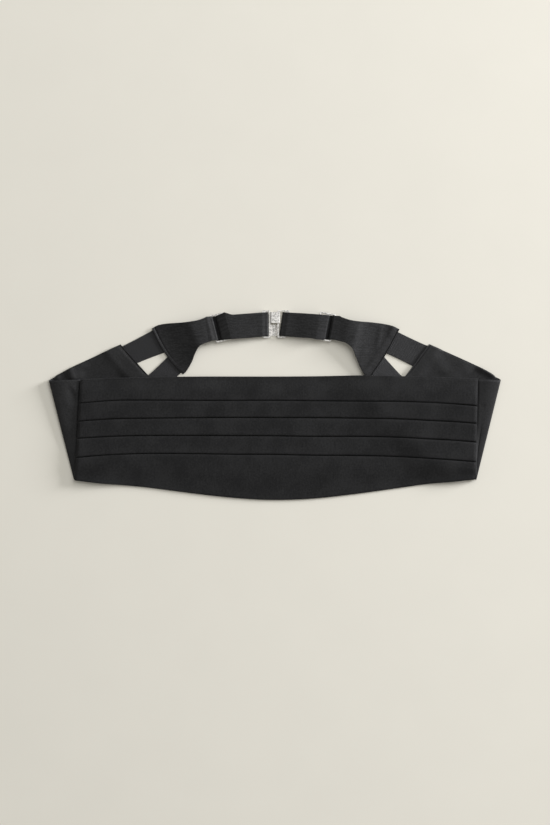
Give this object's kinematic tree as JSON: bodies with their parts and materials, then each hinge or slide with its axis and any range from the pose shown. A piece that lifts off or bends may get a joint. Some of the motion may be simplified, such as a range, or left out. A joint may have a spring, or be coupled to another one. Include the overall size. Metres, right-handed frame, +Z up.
{
  "type": "cummerbund",
  "caption": "Flat-laid satin waist sash with a pleated front, wings turned under, elastic bands, buckled straps and a hook clasp at the back.",
  "frame": {"origin": "on the surface the garment lies on, under the middle of its outline", "axes": "+X to the right seen from above with the pleated front below and the back band above, +Y from the front's lower edge to the back band, +Z up"},
  "size_m": [0.4508, 0.1896, 0.0082],
  "materials": {
    "front_satin": "black satin, low sheen",
    "side_satin": "black satin, low sheen",
    "elastic": "ribbed black elastic, matt",
    "metal": "bright nickel plate"
  },
  "bodies": {
    "root": {"front_panel": "front_satin", "wing_left": "side_satin", "wing_right": "side_satin", "tab_left": "side_satin", "tab_right": "side_satin", "elastic_upper_left": "elastic", "elastic_lower_left": "elastic", "elastic_upper_right": "elastic", "elastic_lower_right": "elastic", "slider_left": "metal", "slider_right": "metal", "clasp_left": "metal", "clasp_right": "metal"}
  },
  "joints": []
}
